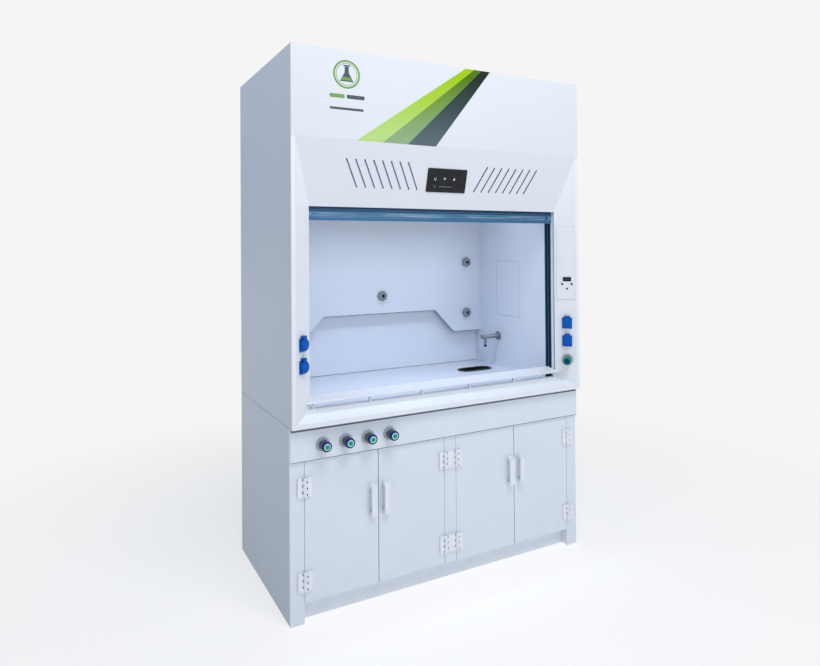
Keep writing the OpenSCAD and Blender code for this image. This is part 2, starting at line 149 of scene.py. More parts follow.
class Finish:
    """One material: node() adds a node, and the last call to coat() wires the surface."""

    def __init__(self, name):
        self.mat = bpy.data.materials.new(name)
        self.mat.use_nodes = True
        self.tree = self.mat.node_tree
        self.tree.nodes.clear()
        self.out = self.tree.nodes.new("ShaderNodeOutputMaterial")
        self.shader = self.tree.nodes.new("ShaderNodeBsdfPrincipled")
        self.tree.links.new(self.shader.outputs[0], self.out.inputs[0])
        coord = self.tree.nodes.new("ShaderNodeTexCoord")
        self.place = Wire(self, coord.outputs["Object"])

    def node(self, kind, settings=None, values=None, out=0):
        n = self.tree.nodes.new(kind)
        for k, v in (settings or {}).items():
            if k == "stops":
                ramp = n.color_ramp
                while len(ramp.elements) < len(v):
                    ramp.elements.new(0.5)
                for e, (pos, col) in zip(ramp.elements, v):
                    e.position, e.color = pos, (*col, 1.0)
            else:
                setattr(n, k, v)
        for k, v in (values or {}).items():
            if isinstance(v, Wire):
                self.tree.links.new(v.socket, n.inputs[k])
            else:
                n.inputs[k].default_value = v
        return Wire(self, n.outputs[out])

    def xyz(self):
        w = self.node("ShaderNodeSeparateXYZ", None, {0: self.place})
        return [Wire(self, w.socket.node.outputs[i]) for i in range(3)]

    def noise(self, scale, detail=3.0, rough=0.5, stretch=None):
        where = self.place
        if stretch:
            where = self.node("ShaderNodeMapping", None, {0: self.place, 3: stretch})
        return self.node("ShaderNodeTexNoise", None,
                         {"Vector": where, "Scale": scale, "Detail": detail, "Roughness": rough})

    def mix(self, mask, a, b):
        """Colour a where mask is 0, b where it is 1."""
        a = (*a, 1.0) if isinstance(a, tuple) else a
        b = (*b, 1.0) if isinstance(b, tuple) else b
        return self.node("ShaderNodeMix", {"data_type": "RGBA"}, {0: mask, 6: a, 7: b}, out=2)

    def bump(self, height, strength, distance):
        return self.node("ShaderNodeBump", None,
                         {"Height": height, "Strength": strength, "Distance": distance})

    def coat(self, **kw):
        for k, v in kw.items():
            s = self.shader.inputs[k.replace("_", " ")]
            if isinstance(v, Wire):
                self.tree.links.new(v.socket, s)
            else:
                s.default_value = (*v, 1.0) if isinstance(v, tuple) and len(v) == 3 else v
        return self.mat


# ---------------------------------------------------------------- finishes


def sheet_plastic(name, base, rough=0.42, soil=0.0, gloss=0.5, fade=1.0, f=None):
    """Extruded sheet: faint cloudiness, 2 mm orange peel, fine scuffs and dust near the floor.

    base is a colour, or one that is already mixed on the finish f; fade darkens it downwards.
    """
    f = f or Finish(name)
    z = f.xyz()[2]
    cloud = f.noise(2.3, 3.0)
    peel = f.noise(420.0, 2.0, 0.55)
    scuff = f.noise(60.0, 4.0, 0.7, (1.0, 1.0, 0.12)).span(0.62, 0.74)
    face = base if isinstance(base, Wire) else f.mix(cloud, tuple(c * 0.955 for c in base), base)
    if fade < 1.0:
        face = f.mix(z.span(0.0, HOOD_H * MM), tuple(c * fade for c in base), face)
    dust = (1.0 - z.span(0.0, 0.35)) * f.noise(14.0, 5.0, 0.65).span(0.35, 0.8)
    face = f.mix(dust * (0.12 + soil), face, (0.42, 0.42, 0.40))
    face = f.mix(scuff * 0.05, face, (0.55, 0.57, 0.62))
    return f.coat(Base_Color=face, Roughness=rough + scuff * 0.12 + (cloud - 0.5) * 0.08,
                  Normal=f.bump(peel, 0.06, 0.0006), Coat_Weight=0.0, Specular_IOR_Level=gloss)


def banded_header():
    """Front sheet with three slanted bands: lime, leaf green and charcoal."""
    f = Finish("header_sheet")
    x, y, z = f.xyz()
    rise = (z - HEADER_Z * MM) / ((HOOD_H - HEADER_Z) * MM)
    # x of each slanted edge at the header's lower and upper edge
    edges = ((-0.468, 0.078), (-0.345, 0.125), (-0.226, 0.165), (-0.084, 0.213))
    cuts = [(x - (rise * (high - low) + low)).step(1500.0) for low, high in edges]
    front = (FRONT_Y * MM + 0.0007 - y).step(4000.0)
    heights = (0.06, 0.5, 0.88)
    lime, leaf, coal = (
        f.node("ShaderNodeValToRGB", {"stops": list(zip(heights, tones))}, {0: rise})
        for tones in (((0.465, 0.68, 0.22), (0.395, 0.62, 0.055), (0.33, 0.55, 0.0)),
                      ((0.26, 0.41, 0.21), (0.17, 0.315, 0.055), (0.08, 0.18, 0.0)),
                      ((0.092, 0.132, 0.15), (0.032, 0.06, 0.06), (0.012, 0.026, 0.016))))
    base = f.mix(f.noise(2.3), (0.70, 0.73, 0.785), (0.74, 0.77, 0.825))
    face = f.mix(cuts[0] * (1.0 - cuts[1]) * front, base, lime)
    face = f.mix(cuts[1] * (1.0 - cuts[2]) * front, face, leaf)
    face = f.mix(cuts[2] * (1.0 - cuts[3]) * front, face, coal)
    return sheet_plastic("header_sheet", face, 0.36, gloss=0.2, f=f)


def splay_with_slot_shade():
    """Front sheet whose cut edges, more than 1 mm under the sloping face, are painted dark navy: painted
    shade inside the slots.
    """
    f = Finish("splay_sheet_slot_shade")
    _, y, z = f.xyz()
    under = (y - FRONT_Y * MM) * (TOP_RISE / SLOPE) + (z - HEADER_Z * MM) * (SPLAY_D / SLOPE)
    face = f.mix(f.noise(2.3), (0.70, 0.73, 0.795), (0.74, 0.77, 0.835))
    # painted shade: slot walls below the sloping face turn dark navy
    face = f.mix((under - 0.0014).step(3000.0), face, (0.012, 0.05, 0.105))
    return sheet_plastic("splay_sheet_slot_shade", face, 0.36, f=f)


def grooved_rail():
    """Blue rail: deep blue lips round a lighter, streaky groove, by height on the rail. The bands are painted
    light: a dark painted shadow under the groove's top edge, dark painted shade at the rail's top and a
    lighter painted highlight band; the streaks in the groove are painted reflections.
    """
    f = Finish("sash_profile_painted_light")
    x, _, z = f.xyz()
    streak = f.noise(26.0, 4.0, 0.65, (0.16, 1.0, 7.0))
    # painted shade and highlight by height: dark shadow lines under the groove's top edge and at the top, a
    # lighter highlight band
    painted_light_bands = f.node("ShaderNodeValToRGB", {"stops": (
        (0.0, (0.05, 0.19, 0.35)), (0.10, (0.025, 0.125, 0.26)), (0.28, (0.05, 0.18, 0.35)),
        (0.36, (0.15, 0.34, 0.55)), (0.60, (0.10, 0.27, 0.46)), (0.68, (0.0, 0.035, 0.09)),
        (0.75, (0.02, 0.11, 0.25)), (0.84, (0.008, 0.06, 0.15)), (0.94, (0.0, 0.02, 0.055)))},
        {0: z.span(RAIL_Z * MM, (RAIL_Z + 62) * MM)})
    # painted reflection: streaky light blue inside the groove
    light = f.mix(streak.span(0.44, 0.62), (0.06, 0.21, 0.40), (0.46, 0.66, 0.84))
    groove_z, half_h, half_w = (RAIL_Z + 25.5) * MM, 0.0085, 0.622
    inside = (half_h - abs(z - groove_z)).step(260.0) * (half_w - abs(x)).step(300.0)
    face = f.mix(inside * 0.75, painted_light_bands, light)
    return f.coat(Base_Color=face, Metallic=0.15, Roughness=0.34 + (streak - 0.5) * 0.2,
                  Specular_IOR_Level=0.3, Normal=f.bump(streak, 0.1, 0.0004))


def moulded(name, base, rough=0.3, coat=0.3, gloss=0.5):
    """Injection moulding: even colour with slight flow marks and a fine pebble grain."""
    f = Finish(name)
    flow = f.noise(35.0, 3.0, 0.5, (1.0, 1.0, 0.4))
    pebble = f.noise(900.0, 2.0)
    face = f.mix(flow, tuple(c * 0.88 for c in base), tuple(min(1.0, c * 1.06) for c in base))
    return f.coat(Base_Color=face, Roughness=rough + (flow - 0.5) * 0.14,
                  Normal=f.bump(pebble, 0.08, 0.0002), Coat_Weight=coat, Coat_Roughness=0.15,
                  Specular_IOR_Level=gloss)


def brushed(name, base, metallic=1.0, rough=0.3, along=(0.02, 1.0, 1.0)):
    """Metal with long fine brush lines and small stains."""
    f = Finish(name)
    lines = f.noise(900.0, 3.0, 0.6, along)
    stain = f.noise(22.0, 4.0)
    face = f.mix(stain, tuple(c * 0.82 for c in base), base)
    return f.coat(Base_Color=face, Metallic=metallic,
                  Roughness=rough + (lines - 0.5) * 0.22 + (stain - 0.5) * 0.1,
                  Normal=f.bump(lines, 0.12, 0.0002))


def lacquered(name, base, rough=0.25, coat=0.6):
    """Sprayed profile: colour drift along its length, orange peel and tiny chips."""
    f = Finish(name)
    drift = f.noise(6.0, 2.0)
    chip = f.noise(240.0, 5.0, 0.7).span(0.72, 0.76)
    face = f.mix(drift, tuple(c * 0.8 for c in base), tuple(min(1.0, c * 1.12) for c in base))
    face = f.mix(chip * 0.5, face, (0.5, 0.52, 0.55))
    return f.coat(Base_Color=face, Metallic=0.35, Roughness=rough + chip * 0.3,
                  Normal=f.bump(f.noise(600.0), 0.05, 0.0003), Coat_Weight=coat)


def pane(name, tint):
    """Float glass with faint wipe marks."""
    f = Finish(name)
    wipe = f.noise(5.0, 5.0, 0.6, (0.3, 1.0, 1.0)).span(0.5, 0.8)
    return f.coat(Base_Color=tint, Roughness=0.02 + wipe * 0.05, Transmission_Weight=0.95,
                  IOR=1.46, Alpha=0.35 + wipe * 0.03)


def black_glass(name):
    """Back-painted screen glass with finger marks."""
    f = Finish(name)
    smear = f.noise(28.0, 5.0, 0.65).span(0.45, 0.75)
    face = f.mix(smear, (0.006, 0.007, 0.009), (0.016, 0.018, 0.021))
    return f.coat(Base_Color=face, Roughness=0.06 + smear * 0.2, Specular_IOR_Level=0.3)


def cast(name, base):
    """Sand-cast iron with pits and a rusty bloom."""
    f = Finish(name)
    pit = f.noise(260.0, 5.0, 0.7)
    rust = f.noise(12.0, 5.0, 0.6).span(0.5, 0.75)
    return f.coat(Base_Color=f.mix(rust * 0.6, base, (0.16, 0.09, 0.06)), Metallic=0.5,
                  Roughness=0.65 + (pit - 0.5) * 0.2, Normal=f.bump(pit, 0.5, 0.001))


def lit(name, colour, power):
    """Backlit mark with slightly uneven light."""
    f = Finish(name)
    glow = f.mix(f.noise(180.0), tuple(c * 0.75 for c in colour), colour)
    return f.coat(Base_Color=glow, Roughness=0.4, Emission_Color=glow, Emission_Strength=power)


FRONT = sheet_plastic("front_sheet", (0.84, 0.865, 0.91), 0.36)
# Painted shade: the sides, back and roof take a darker, bluer copy of the white sheet, which also darkens
# towards the bottom.
SHADED_SHELL = sheet_plastic("shell_sheet_shaded", (0.69, 0.765, 0.89), 0.45, 0.06, fade=0.70)
BASE = sheet_plastic("cabinet_sheet", (0.765, 0.81, 0.885), 0.40, 0.06)
DOOR = sheet_plastic("door_sheet", (0.765, 0.81, 0.89), 0.34, 0.05)
LINER = sheet_plastic("liner_sheet", (0.84, 0.89, 0.985), 0.30)
WORKTOP = sheet_plastic("worktop_sheet", (0.62, 0.665, 0.75), 0.2)
AIRFOIL = sheet_plastic("airfoil_sheet", (0.76, 0.78, 0.83), 0.36)
NYLON = moulded("nylon_white", (0.84, 0.875, 0.93), 0.32, 0.35)
ROSETTE = moulded("rosette_grey", (0.40, 0.455, 0.50), 0.3, 0.3)
BLACK = moulded("black_plastic", (0.010, 0.010, 0.012), 0.35, 0.0, gloss=0.15)
GREY = moulded("grey_plastic", (0.27, 0.29, 0.32), 0.42, 0.1)
# dark neck sleeves of the valves, and painted shade on the hinge pocket floors
DARK = moulded("dark_neck_and_pocket_shade", (0.07, 0.08, 0.095), 0.35, 0.3)
BLUE = moulded("socket_blue", (0.0, 0.105, 0.50), 0.45, 0.0, gloss=0.12)
NAVY = moulded("knob_navy", (0.0, 0.022, 0.17), 0.4, 0.0, gloss=0.25)
GREEN = moulded("knob_green", (0.0, 0.34, 0.14), 0.4, 0.0, gloss=0.25)
TEAL = moulded("knob_teal", (0.0, 0.055, 0.13), 0.4, 0.0, gloss=0.25)
CYAN = moulded("ring_cyan", (0.45, 0.78, 0.82), 0.3, 0.4)
STEEL = brushed("tap_steel", (0.30, 0.33, 0.38), 0.7, 0.4)
RIM_HIGHLIGHT = brushed("rim_blue_highlight", (0.22, 0.42, 0.62), 0.6, 0.35)
SCREW = brushed("screw_steel", (0.55, 0.57, 0.6), 1.0, 0.3)
PROFILE = lacquered("guide_profile", (0.012, 0.085, 0.16), 0.3)
SASH = grooved_rail()
SPLAY = splay_with_slot_shade()
GAP = moulded("seam_shade", (0.10, 0.15, 0.23), 0.6, 0.0)
EDGE_SHADOW = moulded("edge_shadow_pale", (0.50, 0.57, 0.68), 0.6, 0.0)
GLASS = pane("sash_glass", (0.85, 0.94, 0.97))
SCREEN = black_glass("screen_glass")
IRON = cast("counterweight_iron", (0.12, 0.125, 0.13))
DUCT = sheet_plastic("collar_plastic", (0.62, 0.64, 0.68), 0.45)
MARK = lit("icon_light", (0.62, 0.66, 0.68), 0.35)
DIM = lit("icon_dim", (0.20, 0.24, 0.28), 0.06)
SLATE = moulded("mark_slate", (0.05, 0.075, 0.09), 0.4, 0.1)
LEAF = moulded("mark_green", (0.16, 0.34, 0.04), 0.38, 0.2)
HEADER = banded_header()

CAD_FINISH = {
    "base_sides": SHADED_SHELL, "base_back": SHADED_SHELL, "hood_side_left": SHADED_SHELL, "hood_side_right": SHADED_SHELL,
    "hood_back": SHADED_SHELL, "roof": SHADED_SHELL, "base_floor": BASE, "base_dividers": BASE,
    "face_frame": BASE, "toe_kick": BASE, "apron": BASE, "header_panel": HEADER,
    "front_bezel": FRONT, "top_splay": SPLAY, "splay_left": FRONT, "splay_right": FRONT,
    "sill": FRONT, "liners": LINER, "ceiling": LINER, "upper_baffle": LINER,
    "lower_baffle": LINER, "worktop": WORKTOP, "access_panel": LINER, "airfoil": AIRFOIL,
    "control_cover": FRONT, "cup_sink": BLACK, "duct_collar": DUCT, "baffle_knobs": GREY,
    "sash_guides": PROFILE, "sash_lower_frame": SASH, "sash_upper_frame": SASH,
    "sash_lower_glass": GLASS, "sash_upper_glass": GLASS, "counterweights": IRON,
    "touch_panel": SCREEN, "screws": SCREW, "tap": STEEL, "socket_bases": BLUE,
    "valve_bodies": ROSETTE, "hinge_leaves": NYLON,
}
ROUNDED = {  # edge radius in mm of each node whose edges are broken
    "header_panel": 1.2, "front_bezel": 1.0, "splay_left": 0.9,
    "sill": 0.9, "hood_side_left": 1.2, "hood_side_right": 1.2,
    "base_sides": 1.2, "apron": 1.2, "face_frame": 1.0, "toe_kick": 1.0, "worktop": 1.5,
    "access_panel": 0.8, "control_cover": 0.7, "touch_panel": 0.6, "airfoil": 0.7,
    "sash_lower_frame": 1.2,
    "sash_upper_frame": 1.2, "socket_bases": 0.8, "hinge_leaves": 0.7, "hood_back": 1.2,
    "counterweights": 3.0, "cup_sink": 0.8, "duct_collar": 1.0,
    "valve_bodies": 0.9, "tap": 0.8,
}


def dress(name, finish, radius=None):
    """Gives a CAD node its finish and softened edges."""
    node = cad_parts[name]
    node.data.materials.clear()
    node.data.materials.append(finish)
    if radius:
        weld = node.modifiers.new("weld", "WELD")
        weld.merge_threshold = 0.00001
        edge = node.modifiers.new("edge", "BEVEL")
        edge.width = radius * MM
        edge.segments = 2
        edge.limit_method = "ANGLE"
        edge.angle_limit = math.radians(40)
        edge.harden_normals = False


for name, finish in CAD_FINISH.items():
    dress(name, finish, ROUNDED.get(name))
for i in range(1, 5):
    dress(f"door_{i}", DOOR, 1.5)
    dress(f"door_fittings_{i}", NYLON, 0.8)

# ---------------------------------------------------------------- shapes


class Place:
    """A spot and three directions: p(u, v, w) = origin + u*side + v*up + w*out."""

    def __init__(self, origin, side, up, out):
        self.o = np.array(origin, float)
        self.m = np.array([side, up, out], float)

    def __call__(self, pts):
        return self.o + np.asarray(pts, float) @ self.m

    def at(self, u, v, w=0.0):
        return Place(self((u, v, w)), *self.m)


def facing(x, y, z):
    """Spot that looks out of the front: u to the right, v up."""
    return Place((x, y, z), (1, 0, 0), (0, 0, 1), (0, -1, 0))


def on_right_wall(x, y, z):
    """Spot on the chamber's right wall, which looks to the left: u towards the front, v up."""
    return Place((x, y, z), (0, -1, 0), (0, 0, 1), (-1, 0, 0))


def post(side):
    """Face of a splayed post: u inward across it, v up, w out of it; u 0 is its outer edge."""
    n = math.hypot(POST_W, SPLAY_D)
    s = np.array([-side * POST_W / n, SPLAY_D / n, 0])
    return Place((side * BORDER_X, FRONT_Y, 0), s, (0, 0, 1),
                 (-side * SPLAY_D / n, -POST_W / n, 0))


TOP = Place((0, FRONT_Y, HEADER_Z), (1, 0, 0), (0, -SPLAY_D / SLOPE, TOP_RISE / SLOPE),
            (0, -TOP_RISE / SLOPE, -SPLAY_D / SLOPE))
FACE = facing(0, FRONT_Y, 0)


def build(name, body, finish, pts, faces, smooth=True, slot=None):
    """One object from points in mm and faces of any size."""
    mesh = bpy.data.meshes.new(name)
    mesh.from_pydata((np.asarray(pts) * MM).tolist(), [], [list(map(int, f)) for f in faces])
    mesh.validate()
    obj = bpy.data.objects.new(name, mesh)
    scene.collection.objects.link(obj)
    mesh.materials.append(finish)
    if smooth:
        mesh.shade_smooth()
        mesh.set_sharp_from_angle(angle=math.radians(35))
    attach(obj, body)
    return obj


def join(parts):
    """Several (points, faces) as one."""
    pts, faces, n = [], [], 0
    for p, f in parts:
        pts.append(np.asarray(p))
        faces += [[i + n for i in g] for g in f]
        n += len(p)
    return np.concatenate(pts), faces


def turned(profile, where, lobes=0, depth=0.0, n=48):
    """Solid of revolution about w: radius r(w) * (1 + depth * cos(lobes * angle)), closed at both ends."""
    pr = np.asarray(profile, float)
    a = np.linspace(0, 2 * np.pi, n, endpoint=False)
    r = pr[:, 0][:, None] * (1 + depth * np.cos(lobes * a)[None, :])
    w = np.repeat(pr[:, 1][:, None], n, 1)
    pts = np.stack([r * np.cos(a), r * np.sin(a), w], -1).reshape(-1, 3)
    k = len(pr)
    i, j = np.meshgrid(np.arange(k - 1), np.arange(n), indexing="ij")
    j2 = (j + 1) % n
    faces = np.stack([i * n + j, i * n + j2, (i + 1) * n + j2, (i + 1) * n + j], -1).reshape(-1, 4).tolist()
    faces.append(list(range(n))[::-1])
    faces.append(list(range((k - 1) * n, k * n)))
    return where(pts), faces


def plate(outline, depth, where, lift=0.0):
    """Flat plate: the outline (u, v), counter-clockwise, from w = lift to lift + depth."""
    o = np.asarray(outline, float)
    n = len(o)
    pts = np.concatenate([np.c_[o, np.full(n, lift)], np.c_[o, np.full(n, lift + depth)]])
    faces = [list(range(n))[::-1], list(range(n, 2 * n))]
    faces += [[i, (i + 1) % n, n + (i + 1) % n, n + i] for i in range(n)]
    return where(pts), faces


def rounded(w, h, r, n=6):
    """Rectangle w by h with corners of radius r, counter-clockwise, as (u, v)."""
    a = np.linspace(0, np.pi / 2, n)
    out = []
    for k, (sx, sy) in enumerate(((1, 1), (-1, 1), (-1, -1), (1, -1))):
        b = a + k * np.pi / 2
        out.append(np.c_[sx * (w / 2 - r) + r * np.cos(b), sy * (h / 2 - r) + r * np.sin(b)])
    return np.concatenate(out)


def ring(r0, r1, where, depth=0.3, lift=0.0, start=0.0, sweep=360.0, n=36):
    """Flat arc between radii r0 and r1."""
    full = sweep >= 360
    a = np.radians(start + np.linspace(0, sweep, n, endpoint=not full))
    inner, outer = np.c_[r0 * np.cos(a), r0 * np.sin(a)], np.c_[r1 * np.cos(a), r1 * np.sin(a)]
    lo = np.concatenate([np.c_[inner, np.full(n, lift)], np.c_[outer, np.full(n, lift)]])
    hi = lo + [0, 0, depth]
    m = n if full else n - 1
    faces = []
    for i in range(m):
        j = (i + 1) % n
        faces += [[2 * n + i, 3 * n + i, 3 * n + j, 2 * n + j], [i, j, n + j, n + i],
                  [n + i, n + j, 3 * n + j, 3 * n + i], [i, 2 * n + i, 2 * n + j, j]]
    if not full:
        faces += [[0, n, 3 * n, 2 * n], [n - 1, 3 * n - 1, 4 * n - 1, 2 * n - 1]]
    return where(np.concatenate([lo, hi])), faces


def rod(path, radius, n=8, closed=False, ripple=0.0, pitch=6.0):
    """Tube along a path; its radius swells by ripple every pitch mm, as a weld bead does."""
    p = np.asarray(path, float)
    t = np.gradient(p, axis=0) if not closed else np.roll(p, -1, 0) - np.roll(p, 1, 0)
    t /= np.linalg.norm(t, axis=1)[:, None]
    ref = np.array([0.0, 0, 1]) if np.abs(t[:, 2]).max() < 0.9 else np.array([0.31, 0.95, 0.0])
    u = np.cross(t, ref)
    u /= np.linalg.norm(u, axis=1)[:, None]
    v = np.cross(t, u)
    run = np.r_[0, np.cumsum(np.linalg.norm(np.diff(p, axis=0), axis=1))]
    r = radius * (1 + ripple * np.sin(2 * np.pi * run / pitch))
    a = np.linspace(0, 2 * np.pi, n, endpoint=False)
    round_it = np.cos(a)[None, :, None] * u[:, None] + np.sin(a)[None, :, None] * v[:, None]
    pts = p[:, None] + r[:, None, None] * round_it
    k = len(p)
    m = k if closed else k - 1
    i, j = np.meshgrid(np.arange(m), np.arange(n), indexing="ij")
    i2, j2 = (i + 1) % k, (j + 1) % n
    faces = np.stack([i * n + j, i * n + j2, i2 * n + j2, i2 * n + j], -1).reshape(-1, 4).tolist()
    if not closed:
        faces += [list(range(n))[::-1], list(range((k - 1) * n, k * n))]
    return pts.reshape(-1, 3), faces


def hoop(where, w, h, corner, wire, lift=0.0, sides=8, n=6):
    """Closed bead of radius wire round a rectangle w by h, lift mm off the surface."""
    loop = rounded(w, h, corner, n)
    return rod(where(np.c_[loop, np.full(len(loop), lift)]), wire, sides, True)


def bar(a, b, step=2.0):
    """Points every step mm from a to b."""
    a, b = np.asarray(a, float), np.asarray(b, float)
    n = max(2, int(np.linalg.norm(b - a) / step))
    return a + (b - a) * np.linspace(0, 1, n)[:, None]


def heads(spots, name, r, tall, finish=SCREW):
    """Pan-head screws with a cross recess, as 4-lobed hollows in a dome; each spot is a Place."""
    parts = []
    n, m = 24, 9
    for k, where in enumerate(spots):
        rho = np.linspace(0, 1, m)[:, None]
        a = (np.linspace(0, 2 * np.pi, n, endpoint=False) + k)[None, :]
        h = tall * np.sqrt(np.clip(1 - rho ** 3, 0, 1)) + 0 * a
        x, y = rho * np.cos(a), rho * np.sin(a)
        arm_1 = np.abs(x * np.cos(k) + y * np.sin(k)) < 0.16
        arm_2 = np.abs(-x * np.sin(k) + y * np.cos(k)) < 0.16
        cross = (arm_1 | arm_2) & (rho < 0.62)
        h = np.where(cross, h - tall * 0.6, h)
        pts = np.stack([x * r, y * r, h], -1).reshape(-1, 3)
        i, j = np.meshgrid(np.arange(m - 1), np.arange(n), indexing="ij")
        f = np.stack([i * n + j, (i + 1) * n + j, (i + 1) * n + (j + 1) % n, i * n + (j + 1) % n], -1)
        parts.append((where(pts), f.reshape(-1, 4).tolist() + [list(range((m - 1) * n, m * n))[::-1]]))
    return build(name, "hood", finish, *join(parts))


# ---------------------------------------------------------------- header mark

INK = 0.35  # thickness of a printed mark
mark = FACE.at(-510, 2250)
build("mark_ring", "hood", LEAF, *join([
    ring(52, 60, mark, INK), ring(45, 47.5, mark, INK)]), smooth=False)
build("mark_flask", "hood", SLATE, *join([
    plate([(-30, -30), (30, -30), (9, 8), (9, 32), (-9, 32), (-9, 8)], INK, mark),
    plate([(-15, 33), (15, 33), (15, 39), (-15, 39)], INK, mark)]), smooth=False)
build("mark_level", "hood", LEAF, *plate(
    [(-25, -25), (25, -25), (16, -12), (-16, -12)], 0.3, mark, INK), smooth=False)
build("mark_bars_dark", "hood", SLATE, *join([
    plate(rounded(80, 16, 4), INK, mark.at(40, -93)),
    plate(rounded(150, 10, 3), INK, mark.at(0, -145))]), smooth=False)
build("mark_bar_green", "hood", LEAF, *plate(
    rounded(66, 16, 4), INK, mark.at(-43, -93)), smooth=False)

# ---------------------------------------------------------------- screen on the splay

ICON = {"depth": 0.25, "lift": 2.5}  # an icon's thickness, and how far it stands off the splay
pad = TOP.at(-6, -152)
build("screen_rim", "hood", BLACK, *hoop(pad, 206, 108, 5, 1.1, 2.2))
bulb, fan, alarm = (pad.at(u, 9) for u in (-62, -12, 38))
icons = [ring(5.2, 6.4, bulb, start=130, sweep=280, **ICON),
         plate(rounded(5, 4, 1), where=bulb.at(0, -7.5), **ICON)]
icons += [ring(2.2, 5.8, fan, start=90 + 120 * k, sweep=62, n=10, **ICON) for k in range(3)]
icons.append(ring(0, 1.5, fan, **ICON))
icons.append(plate([(-6, -5), (6, -5), (0, 6.5)], where=alarm, **ICON))
build("screen_icons", "hood", MARK, *join(icons), smooth=False)
power = pad.at(-62, -28)
build("screen_dim", "hood", DIM, *join([
    ring(4.4, 5.4, power, start=120, sweep=300, **ICON),
    plate(rounded(1.2, 6, 0.5), where=power.at(0, 5), **ICON),
    plate(rounded(64, 2.4, 1), where=pad.at(-6, -28), **ICON)]), smooth=False)

# ---------------------------------------------------------------- display and buttons

right, left = post(1), post(-1)
lcd = right.at(45.5, 1356, 1.0)
build("display_glass", "hood", SCREEN, *plate(rounded(40.6, 21.6, 3), 1.9, lcd))
build("display_rim", "hood", BLACK, *hoop(lcd, 40.4, 21.4, 3, 0.8, 1.6, 6))


def digit(where, on, size=2.8):
    """Seven bars of a display digit; on says which are lit, from the top round to the middle."""
    s = size
    t = s * 0.22
    spots = [(0, s, s, t), (s / 2, s / 2, t, s), (s / 2, -s / 2, t, s), (0, -s, s, t),
             (-s / 2, -s / 2, t, s), (-s / 2, s / 2, t, s), (0, 0, s, t)]
    return [plate(rounded(w * 0.86, h * 0.86, 0.2, 2), 0.15, where.at(u, v), 1.9)
            for (u, v, w, h), o in zip(spots, on) if o]


# The post's u runs towards the opening, so a reader in front sees it right to left.
read = Place(lcd.o, -lcd.m[0], lcd.m[1], lcd.m[2])
zero, five = (1, 1, 1, 1, 1, 1, 0), (1, 0, 1, 1, 0, 1, 1)
bars = digit(read.at(-8, 0), zero) + digit(read.at(-1, 0), five) + digit(read.at(6, 0), zero)
bars.append(ring(0, 0.5, read.at(-4.5, -2.8), 0.15, 1.9))
bars = [(p, [g[::-1] for g in f]) for p, f in bars]
build("display_digits", "hood", DIM, *join(bars), smooth=False)

for name, (u, v) in BUTTONS.items():
    where = right.at(u, v)
    cap = build(f"button_cap_{name}", f"button_{name}", BLACK, *turned(
        [(5.4, -2.1), (5.4, -0.3), (3.95, -0.25), (3.95, 3.2), (3.6, 3.75), (2.6, 3.95),
         (1.2, 3.8), (0.2, 3.75)], where))
    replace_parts(cap, f"button_{name}")
    build(f"button_collar_{name}", "hood", BLACK, *turned(
        [(4.45, 2.4), (5.3, 2.5), (5.2, 3.0), (4.9, 3.2), (4.5, 3.0)], where))

# ---------------------------------------------------------------- sockets


def lid_shell(where):
    """Round domed lid: the square -1..1 is drawn onto a disc by x' = x sqrt(1 - y^2/2) and
    y' = y sqrt(1 - x^2/2), and its height is 9 + 6.3(1 - r^6). It is hollow behind."""
    n = 25
    t = np.linspace(-1, 1, n)
    x, y = np.meshgrid(t, t, indexing="ij")
    x, y = x * np.sqrt(1 - y * y / 2), y * np.sqrt(1 - x * x / 2)
    h = 9 + 6.3 * (1 - np.clip(x * x + y * y, 0, 1) ** 3)
    radius, centre_v = 24.6, -32.2
    u, v = radius * x, centre_v + radius * y
    top = np.stack([u, v, h], -1).reshape(-1, 3)
    edge = np.r_[np.arange(n) * n, (n - 1) * n + np.arange(1, n), (n - 1) * n - n * np.arange(1, n) + n - 1,
                 np.arange(n - 2, 0, -1)]
    skirt = top[edge].copy()
    skirt[:, 2] = 0.5
    i, j = np.meshgrid(np.arange(n - 1), np.arange(n - 1), indexing="ij")
    f = np.stack([i * n + j, (i + 1) * n + j, (i + 1) * n + j + 1, i * n + j + 1], -1).reshape(-1, 4).tolist()
    k, m = len(edge), len(top)
    f += [[int(edge[a]), m + a, m + (a + 1) % k, int(edge[(a + 1) % k])] for a in range(k)]
    rim = skirt.copy()
    rim[:, 0] *= 0.88
    rim[:, 1] = centre_v + (rim[:, 1] - centre_v) * 0.86
    deep = rim.copy()
    deep[:, 2] = 6.0
    f += [[m + a, m + k + a, m + k + (a + 1) % k, m + (a + 1) % k] for a in range(k)]
    f += [[m + k + a, m + 2 * k + a, m + 2 * k + (a + 1) % k, m + k + (a + 1) % k] for a in range(k)]
    f.append([m + 2 * k + a for a in range(k)])
    return where(np.concatenate([top, skirt, rim, deep])), f


for side, post_face in (("left", left), ("right", right)):
    for tier, z in SOCKET_Z.items():
        hinge = post_face.at(SOCKET_U, z + 33, 8.5)
        shell = lid_shell(hinge)
        barrel = rod(hinge(bar((-6.6, 0, 0), (6.6, 0, 0), 1.1)), 4.1, 20)
        arm = plate(rounded(13, 9, 1), 4.0, hinge.at(0, -5.2), 0.4)
        tab = plate(rounded(25, 15, 3.2), 2.6, hinge.at(0, -3.2), 4.6)
        lip = rod(hinge(bar((-8, -56.2, 6.5), (8, -56.2, 6.5), 2)), 1.5, 10)
        lid = build(f"lid_shell_{side}_{tier}", f"lid_{side}_{tier}", BLUE,
                    *join([shell, barrel, arm, tab, lip]))
        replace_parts(lid, f"lid_{side}_{tier}")
        build(f"lid_seal_{side}_{tier}", f"lid_{side}_{tier}", BLACK,
              *hoop(hinge.at(0, -32.4), 35, 37, 6, 0.9, 1.6))
        well = post_face.at(SOCKET_U, z, -9.2)
        build(f"well_ring_{side}_{tier}", "hood", GREY, *ring(2.0, 2.5, well, 0.3, 0.4))

# ---------------------------------------------------------------- knobs


